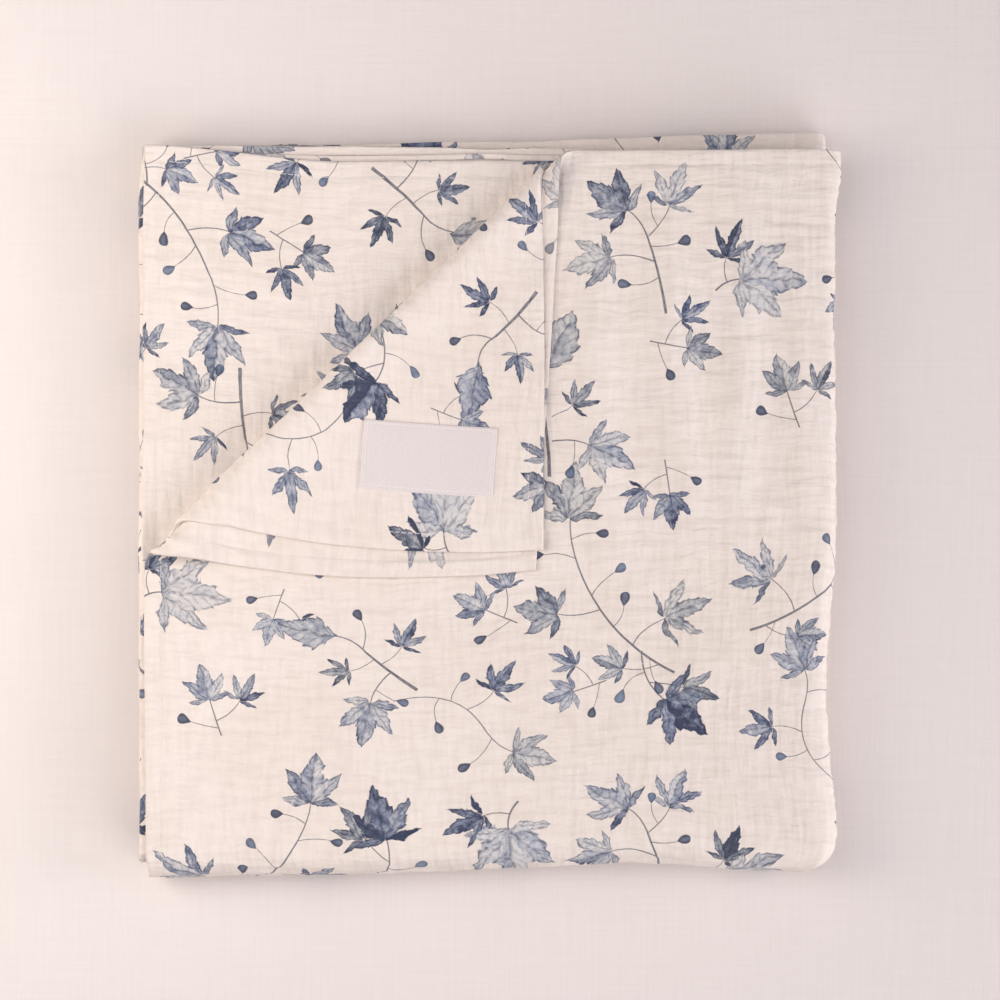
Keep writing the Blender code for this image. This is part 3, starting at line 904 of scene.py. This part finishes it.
def print_attributes(points, faces):
    """For each corner of each face, its place in the frames of the nearest leaves, berry and stems."""
    corners = points[faces] * 1000
    centre = corners.mean(axis=1)
    reach = np.linalg.norm(corners - centre[:, None], axis=2).max(axis=1)
    curves, rows = sprig_stems()
    lines = np.array([curve_places(curve, CURVE_STEPS) for curve in curves])
    half = np.array([row[:2] for row in rows])
    made = {}

    def spread(name, has, values, elsewhere=(0.0, 0.0, 0.0)):
        made[name] = np.tile(np.array(elsewhere), (len(faces), 3, 1))
        made[name][has] = values

    def to_line(item, places):
        return beside_steps(places[:, None] - lines[item, :-1], np.diff(lines[item], axis=0))[1].min(axis=1)

    middles = (curves[:, 0] + curves[:, 2]) / 2
    radii = np.linalg.norm(lines - middles[:, None], axis=2).max(axis=1) + 2.5
    for items, slot in zip(nearest_two(centre, reach, middles, radii, to_line).T, "ab", strict=True):
        has = np.flatnonzero(items >= 0)
        values = stem_places(corners[has], lines[items[has]], half[items[has]])
        spread("stem_" + slot, has, values, NO_STEM)

    heading = curves[:, 2] - curves[:, 1]
    heading /= np.linalg.norm(heading, axis=1)[:, None]
    kinds = np.array(["leaf" if row[2] in FORMS else row[2] for row in rows], object)
    made["tones"] = np.zeros((len(faces), 3, 3))
    for kind, slots in (("leaf", "ab"), ("berry", "a")):
        own = np.flatnonzero(kinds == kind)
        length, breadth, tone = np.array([rows[i][3:6] for i in own]).T
        origin, turn = curves[own, 2], heading[own]
        across = np.stack([-turn[:, 1], turn[:, 0]], axis=1)
        middle = origin + turn * (0.45 * length)[:, None]

        def to_disc(item, places):
            return np.linalg.norm(places - middle[item], axis=1) / length[item]

        found = nearest_two(centre, reach, middle, 0.66 * length, to_disc)
        for number, slot in enumerate(slots):
            has = np.flatnonzero(found[:, number] >= 0)
            item = found[has, number]
            offset = corners[has] - origin[item, None]
            x = (offset * turn[item, None]).sum(axis=2) / length[item, None]
            y = (offset * across[item, None]).sum(axis=2) / (length * breadth)[item, None]
            third = SEED_STEP * item % SEEDS if kind == "leaf" else tone[item]
            values = np.stack([x, y, np.tile(third[:, None], 3)], axis=2)
            spread(kind + "_" + slot, has, values, FAR_OFF)
            if kind == "leaf":
                made["tones"][has, :, number] = tone[item, None]
                form = np.array([FORMS[rows[i][2]] for i in own])[item]
                spread("form_" + slot, has, form[:, None])
    return made


# --- materials: sums of nodes


class Value:
    """One output of a material's nodes, to calculate on with."""

    def __init__(self, socket):
        self.socket = socket

    def __add__(self, other):
        return calc("ADD", self, other)

    def __sub__(self, other):
        return calc("SUBTRACT", self, other)

    def __rsub__(self, other):
        return calc("SUBTRACT", other, self)

    def __mul__(self, other):
        return calc("MULTIPLY", self, other)

    def __abs__(self):
        return calc("ABSOLUTE", self)

    def axes(self):
        made = node(self.socket.id_data, "SeparateXYZ", (self,)).socket.node
        return [Value(made.outputs[i]) for i in range(3)]

    __radd__ = __add__


def node(tree, kind, values=(), out=0, **settings):
    """Adds a node, each of its inputs a number or another node's value, and gives one of its outputs."""
    made = tree.nodes.new("ShaderNode" + kind)
    for name, setting in settings.items():
        setattr(made, name, setting)
    for name, value in values.items() if isinstance(values, dict) else enumerate(values):
        if isinstance(value, Value):
            tree.links.new(value.socket, made.inputs[name])
        elif value is not None:
            made.inputs[name].default_value = value
    return Value(made.outputs[out])


def calc(operation, *values, out=0, clamp=False):
    tree = next(v.socket.id_data for v in values if isinstance(v, Value))
    if any(isinstance(v, tuple) or (isinstance(v, Value) and v.socket.type == "VECTOR") for v in values):
        values = [(v, v, v) if isinstance(v, (int, float)) else v for v in values]
        return node(tree, "VectorMath", values, out, operation=operation)
    return node(tree, "Math", values, operation=operation, use_clamp=clamp)


def step_up(value, low, high):
    """From 0 at low to 1 at high, softly. Low may be the larger one."""
    values = (value, low, high, 0.0, 1.0)
    return node(value.socket.id_data, "MapRange", values, interpolation_type="SMOOTHSTEP")


def mix_colour(factor, *colours):
    first, second = ((*colour, 1) if isinstance(colour, tuple) else colour for colour in colours)
    return node(factor.socket.id_data, "Mix", {0: factor, 6: first, 7: second}, 2, data_type="RGBA")


def tinted(colour, *tints):
    """A colour with others laid over it, each a tuple of how much there is of it and the colour."""
    for amount, tint in tints:
        colour = mix_colour(amount, colour, tint)
    return colour


def noise(place, scale, detail, roughness=0.5, out=0):
    values = {"Vector": place, "Scale": scale, "Detail": detail, "Roughness": roughness}
    return node(place.socket.id_data, "TexNoise", values, out)


def attribute(tree, name):
    return node(tree, "Attribute", (), 1, attribute_name=name)


def pick(which, first, second):
    """The second where which is 1, otherwise the first."""
    kind, at, out = ("VECTOR", 4, 1) if first.socket.type == "VECTOR" else ("FLOAT", 2, 0)
    return node(which.socket.id_data, "Mix", {0: which, at: first, at + 1: second}, out, data_type=kind)


def new_material(name, look, roughness, sheen, strength, distance):
    """A matt material. Its look gives the colour and the height of its bumps, for a tree of nodes."""
    made = bpy.data.materials.new(name)
    made.use_nodes = True
    tree = made.node_tree
    colour, height = look(tree)
    bump = node(tree, "Bump", {"Strength": strength, "Distance": distance, "Height": height})
    shader = tree.nodes["Principled BSDF"]
    shader.inputs["Roughness"].default_value = roughness
    shader.inputs["Specular IOR Level"].default_value = 0.25
    shader.inputs["Sheen Weight"].default_value = sheen
    tree.links.new(colour.socket, shader.inputs["Base Color"])
    tree.links.new(bump.socket, shader.inputs["Normal"])
    return made


# --- the printed gauze

# A leaf's lobes: tip, middle pair and low pair. Angle in degrees and length in leaf lengths
LOBES = ((0, 1.0), (40, 0.82), (86, 0.56))
TO_TIP = tuple(math.cos(math.radians(turn)) / length for turn, length in LOBES)
TO_SIDE = tuple(math.sin(math.radians(turn)) / length for turn, length in LOBES)
LOBE_LENGTHS = tuple(length for _, length in LOBES)
TEETH = (5.5, 4.5, 3.5)
CREAM = (0.850, 0.763, 0.698)
INK = (0.030, 0.043, 0.088)
# Columns: tone, colour, of the leaves' wash
WASH = (
    (0.00, (0.60, 0.61, 0.64)),
    (0.32, (0.34, 0.395, 0.49)),
    (0.64, (0.120, 0.172, 0.300)),
    (0.98, (0.024, 0.038, 0.095)),
)


def leaf(tree, slot, warp):
    """One of the two nearest leaves: how far inside it each place is, how far its lobes' depths fall short of
    the deepest, the place along and beside each lobe and beside the midrib, and the leaf's chance number."""
    place, form = attribute(tree, "leaf_" + slot), attribute(tree, "form_" + slot)
    x, y, _ = (place + warp).axes()
    side = abs(y)
    along = x * TO_TIP + side * TO_SIDE
    across = abs(side * TO_TIP - x * TO_SIDE)
    teeth = calc("FRACTION", along * TEETH) * 0.20 + 0.87
    width = form * (along - along * along) * (along * -1.6 + 4.8) * teeth
    depth = (width - across - 0.012) * LOBE_LENGTHS
    middle = calc("DISTANCE", node(tree, "CombineXYZ", (x, side)), (0.19, 0.0, 0.0), out=1)
    body = form.axes()[1] * 1.05 - middle - 0.012
    tip, middle_pair, low_pair = depth.axes()
    deepest = calc("MAXIMUM", calc("MAXIMUM", tip, middle_pair), low_pair)
    return calc("MAXIMUM", deepest, body), depth - deepest, along, across, y, place.axes()[2]


def beside_stem(tree, slot):
    """How far outside one of the two nearest stems each place is."""
    beside, half, from_end = attribute(tree, "stem_" + slot).axes()
    return calc("MAXIMUM", abs(beside) - half, from_end * -1)


def leaf_print(tree, cloth, flat):
    """The cloth's colour with the print on it."""
    warp = (noise(flat, 115, 2.0, 0.6, 1) - (0.5, 0.5, 0.5)) * (0.26, 0.26, 0.0)
    brushed, mottled = noise(flat, 420, 2.0), noise(flat, 260, 3.0, 0.62)
    # The nearer leaf of the two
    leaf_a, leaf_b = leaf(tree, "a", warp), leaf(tree, "b", warp)
    second = calc("GREATER_THAN", leaf_b[0], leaf_a[0])
    pairs = zip(leaf_a, leaf_b, strict=True)
    inside, depth, along, across, across_leaf, seed = (pick(second, a, b) for a, b in pairs)
    tone = pick(second, *attribute(tree, "tones").axes()[:2])
    # Which lobe this is, and the place in it
    ones = calc("MAXIMUM", calc("SIGN", depth + 0.0005), 0.0)
    lobe, lobe_along, lobe_across = (
        calc("DOT_PRODUCT", ones, values, out=1) for values in ((1.0, 2.0, 3.0), along, across)
    )
    own = node(tree, "CombineXYZ", (lobe, calc("SIGN", across_leaf), seed))
    chance = node(tree, "TexWhiteNoise", {"Vector": own})
    # The wash: some leaves lean to grey-green, and some to a clearer blue
    tone = tone + (chance - 0.5) * 0.70 + (mottled - 0.5) * 1.5 - 0.04
    tone = calc("ADD", tone, step_up(inside, 0.06, 0.0) * 0.20, clamp=True)
    ramp = node(tree, "ValToRGB", (tone,))
    stops = ramp.socket.node.color_ramp.elements
    for number, (at, colour) in enumerate(WASH):
        stop = stops[number] if number < 2 else stops.new(at)
        stop.position, stop.color = at, (*colour, 1)
    leaning = node(tree, "TexWhiteNoise", {"W": seed}, noise_dimensions="1D")
    grey = mix_colour(tone, (0.56, 0.57, 0.54), (0.045, 0.060, 0.070))
    blue = mix_colour(tone, (0.50, 0.57, 0.70), (0.035, 0.075, 0.210))
    to_grey, to_blue = step_up(leaning, 0.45, 0.95) * 0.5, step_up(leaning, 0.30, 0.05) * 0.5
    wash = tinted(ramp, (to_grey, grey), (to_blue, blue))
    # The veins and the drawn edge
    rib = step_up(lobe_across, 0.034, 0.014)
    side_rib = abs(calc("FRACT", lobe_along * 6.5 - lobe_across * 7.0) - 0.5)
    ribs = calc("MAXIMUM", rib, step_up(side_rib, 0.20, 0.07) * 0.6)
    edge = step_up(inside, 0.046, 0.012)
    drawn = calc("MAXIMUM", ribs * 0.8, edge) * step_up(brushed, 0.25, 0.60)
    in_leaf = step_up(inside, -0.010, 0.016)
    stem = calc("MINIMUM", beside_stem(tree, "a"), beside_stem(tree, "b"))
    stem = step_up(stem + (brushed - 0.5) * 0.34, 0.14, -0.10)
    # A berry is a drop, paler on one side
    x, y, berry_tone = (attribute(tree, "berry_a") + warp * (1.1, 1.1, 0.0)).axes()
    drop = x * calc("SQRT", calc("MAXIMUM", 1.0 - x, 0.0)) * 0.92 - abs(y)
    berry_tone = berry_tone * 1.15 + (mottled - 0.5) * 1.2 + step_up(drop, 0.12, 0.0) * 0.25
    berry_tone = calc("SUBTRACT", berry_tone, step_up(drop, 0.08, 0.30) * 0.30, clamp=True)
    berry = mix_colour(berry_tone, (0.225, 0.300, 0.430), (0.024, 0.036, 0.085))
    return tinted(
        cloth,
        (stem * (0.52 + brushed * 0.5), INK),
        (in_leaf * (0.58 + tone * 0.38), wash),
        (in_leaf * drawn * (0.62 + tone * 0.25), INK),
        (step_up(drop, -0.02, 0.05) * 0.92, berry),
    )


def seam_thread(x, y, from_side, from_end, inset, stitch, thread, gap):
    """How far each place is from the nearest edge, and 1 on the thread of the seam that runs along the edges:
    short stitches with small gaps."""
    from_edge = calc("MINIMUM", from_side, from_end)
    along = pick(calc("LESS_THAN", from_end, from_side), y, x)
    in_stitch = abs(calc("FRACT", along * (1 / stitch)) - 0.5)
    return from_edge, step_up(abs(from_edge - inset), *thread) * step_up(in_stitch, *gap)


def ridge_highlight(x, y):
    """Painted highlight: where the top panel lies up on a ridge down its upper right, its colour is made
    paler, as if lit more.
    """
    total = 0.0
    for at_x, at_y, half_length, half_width, heading, _ in RIDGES[:3]:
        along, across = map(abs, turned_axes(x, y, at_x, at_y, heading))
        on_length = step_up(along, 1.5 * half_length, 0.5 * half_length)
        total = total + on_length * step_up(across, 1.6 * half_width, 0.2 * half_width)
    return total


def gauze(tree):
    flat = attribute(tree, "flat")
    x, y, side = flat.axes()
    # Its threads run along the cloth and across it, and its fine creases run across it
    threads = noise(flat * (1900.0, 160.0, 1.0), 1.0, 2.0) + noise(flat * (160.0, 1900.0, 1.0), 1.0, 2.0)
    wander = noise(flat, 90, 1.0, 0.5, 1) * (0.5, 1.3, 0.0)
    creases = noise(flat * (55.0, 330.0, 1.0) + wander, 1.0, 2.0, 0.55)
    quilted = noise(flat * (300.0, 55.0, 1.0), 1.0, 1.0)
    from_side, from_end = calc("MINIMUM", x, CUT_W - x), calc("MINIMUM", y * -1, y + CUT_H)
    thread = (THREAD_W * 0.6, THREAD_W * 0.3)
    _, sewn = seam_thread(x, y, from_side, from_end, HEM_W, STITCH, thread, (0.40, 0.34))
    colour = mix_colour(step_up(noise(flat, 22, 2.0), 0.3, 0.7), CREAM, (0.872, 0.791, 0.737))
    colour = tinted(
        colour,
        (step_up(threads, 1.12, 0.80) * 0.08, (0.58, 0.49, 0.43)),
        # Painted highlight: paler where the top panel lies up on its ridges
        (ridge_highlight(x, y) * 0.45, (0.91, 0.84, 0.79)),
        # Painted shade: the colour is darker in the crease valleys and the quilting's hollows, on top of
        # their bumps
        (step_up(creases, 0.56, 0.36) * 0.19, (0.65, 0.56, 0.51)),
        (step_up(quilted, 0.56, 0.36) * 0.12, (0.65, 0.56, 0.51)),
    )
    # The print shows through on the cloth's back, a little paler
    colour = mix_colour(step_up(side, -0.5, -0.6) * 0.22, leaf_print(tree, colour, flat), colour)
    colour = mix_colour(sewn * 0.55, colour, (0.88, 0.82, 0.78))
    return colour, creases * 0.95 + quilted * 0.95 + threads * 0.07 + sewn * 0.12


def ribbon(tree):
    """The label's woven white ribbon, ribbed across, with a seam round it."""
    place = attribute(tree, "on_label")
    x, y, _ = place.axes()
    ribs = node(tree, "TexWave", {"Vector": place, "Scale": 260.0, "Distortion": 0.6}, 1, bands_direction="X")
    picks = noise(place * (900.0, 2600.0, 1.0), 1.0, 1.0)
    from_side, from_end = LABEL_W / 2 - abs(x), LABEL_H / 2 - abs(y)
    thread = (0.00022, 0.00010)
    inset, sewn = seam_thread(x, y, from_side, from_end, LABEL_SEAM, LABEL_STITCH, thread, (0.40, 0.33))
    colour = mix_colour(step_up(picks, 0.30, 0.70), (0.732, 0.667, 0.662), (0.788, 0.721, 0.719))
    # Painted highlight: the label's rounded rim is made paler all round, as if it caught the light
    rim_highlight = step_up(inset, 0.0006, 0.0)
    colour = tinted(colour, (sewn * 0.6, (0.92, 0.88, 0.87)), (rim_highlight * 0.35, (0.92, 0.89, 0.88)))
    return colour, ribs * 0.5 + picks * 0.4 + sewn * 0.8


def table_linen(tree):
    place = node(tree, "TexCoord", (), 3)
    slubs = noise(place * (26.0, 700.0, 1.0), 1.0, 2.0) + noise(place * (700.0, 26.0, 1.0), 1.0, 2.0)
    return mix_colour(step_up(slubs, 0.7, 1.3), (0.812, 0.748, 0.720), (0.830, 0.768, 0.742)), slubs


# --- the photograph's view, floor and light

CAMERA_X, CAMERA_Y = 0.0054, 0.0022  # the picture's middle falls here
CAMERA_HEIGHT, PICTURE_WIDTH = 1.60, 0.4115  # the width that it takes in, at the height of the top panel
SENSOR = 36  # millimetres


def camera():
    data = bpy.data.cameras.new("camera")
    data.sensor_width = SENSOR
    data.lens = SENSOR * (CAMERA_HEIGHT - TOP) / PICTURE_WIDTH
    made = add_object("camera", data)
    made.location = (CAMERA_X, CAMERA_Y, CAMERA_HEIGHT)
    bpy.context.scene.camera = made


# Each lamp is a disc that faces the pack. Columns: name, place, size, watts, colour
LAMPS = (
    ("window", (-0.508, 0.045, 0.356), 0.45, 1.93, (1.0, 0.91, 0.81)),
    ("skylight", (-0.478, 0.174, 1.142), 1.0, 4.35, (0.99, 0.95, 0.98)),
    ("door", (1.050, -1.185, 0.993), 1.5, 16.0, (1.0, 0.96, 0.965)),
    ("room", (2.550, 0.060, 0.750), 1.5, 32.5, (0.98, 0.95, 0.98)),
)


def light():
    for name, place, size, watts, colour in LAMPS:
        data = bpy.data.lights.new(name, "AREA")
        data.shape, data.size, data.energy, data.color = "DISK", size, watts, colour
        lamp = add_object(name, data)
        lamp.location = place
        lamp.rotation_euler = (-Vector(place)).to_track_quat("-Z", "Y").to_euler()
    world = bpy.data.worlds.new("world")
    world.use_nodes = True
    background = world.node_tree.nodes["Background"]
    background.inputs["Color"].default_value = (0.92, 0.90, 0.95, 1)
    background.inputs["Strength"].default_value = 0.25
    bpy.context.scene.world = world
    bpy.context.scene.view_settings.view_transform = "Standard"


TABLE_SIZE, TABLE_Z = 8.0, -0.0004


def floor():
    mesh = bpy.data.meshes.new("table")
    bm = bmesh.new()
    bmesh.ops.create_grid(bm, x_segments=1, y_segments=1, size=TABLE_SIZE)
    bm.to_mesh(mesh)
    bm.free()
    mesh.materials.append(new_material("table_linen", table_linen, 0.9, 0.0, 0.4, 0.0003))
    made = add_object("table", mesh)
    made.location.z = TABLE_Z


LABEL_SEAM, LABEL_STITCH = 0.0014, 0.0016  # from the label's edge to its seam, and a stitch with its gap
LABEL_SEAM_DEPTH, LABEL_SEAM_WIDTH, LABEL_ROUND = 0.00014, 0.0005, 0.0008
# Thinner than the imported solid, and resting on the cloth's crinkles
RIBBON, RIBBON_DROP, RIBBON_WAVE = 0.00072, 0.00014, 0.00008


def label():
    """A slab with round edges that lies on the turned-back corner, drawn in a little along its seam."""
    mesh = bpy.data.meshes.new("sewn_label")
    bm = bmesh.new()
    bmesh.ops.create_grid(bm, x_segments=132, y_segments=66, size=0.5)
    bmesh.ops.scale(bm, vec=(LABEL_W, LABEL_H, 1), verts=bm.verts[:])
    made = bmesh.ops.extrude_face_region(bm, geom=bm.faces[:])
    top = [g for g in made["geom"] if isinstance(g, bmesh.types.BMVert)]
    bmesh.ops.translate(bm, vec=(0, 0, 1), verts=top)
    bmesh.ops.recalc_face_normals(bm, faces=bm.faces[:])
    bm.to_mesh(mesh)
    bm.free()
    flat = np.empty(len(mesh.vertices) * 3)
    mesh.vertices.foreach_get("co", flat)
    flat = flat.reshape(-1, 3)
    store(mesh, "on_label", "POINT", flat * (1, 1, 0))
    inset = np.minimum(LABEL_W / 2 - np.abs(flat[:, 0]), LABEL_H / 2 - np.abs(flat[:, 1]))
    rounding = np.sqrt(1 - (1 - np.clip(inset / LABEL_ROUND, 0, 1)) ** 2)
    seam = np.exp(-(((inset - LABEL_SEAM) / LABEL_SEAM_WIDTH) ** 2))
    crown = RIBBON * (0.45 + 0.55 * rounding) - LABEL_SEAM_DEPTH * seam
    crown += RIBBON_WAVE * value_noise(flat[:, 0], flat[:, 1], 0.009, 0.006, 10)
    flat[:, 2] *= crown
    plan = np.stack(turned_axes(flat[:, 0], flat[:, 1], 0, 0, -LABEL_TURN), axis=1) + (LABEL_X, LABEL_Y)
    along, beyond = crease_axes(plan)
    radius = roll_radius(along)
    height = TOP + 2 * radius + pile(2) - sunk(radius, -beyond) + LABEL_CLEAR - RIBBON_DROP
    placed = loosened(settle(np.column_stack([plan, height + flat[:, 2]])))
    mesh.vertices.foreach_set("co", placed.ravel())
    mesh.shade_smooth()
    mesh.materials.append(new_material("woven_ribbon", ribbon, 0.55, 0.15, 0.6, 0.00012))
    return add_object("sewn_label", mesh)


camera()
light()
floor()
cloth = cloth_mesh()
cloth.data.materials.append(new_material("gauze", gauze, 0.92, 0.10, 1.0, 0.00082))
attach(cloth, "root")
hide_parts("blanket")
sewn_label = label()
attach(sewn_label, "root")
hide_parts("label")
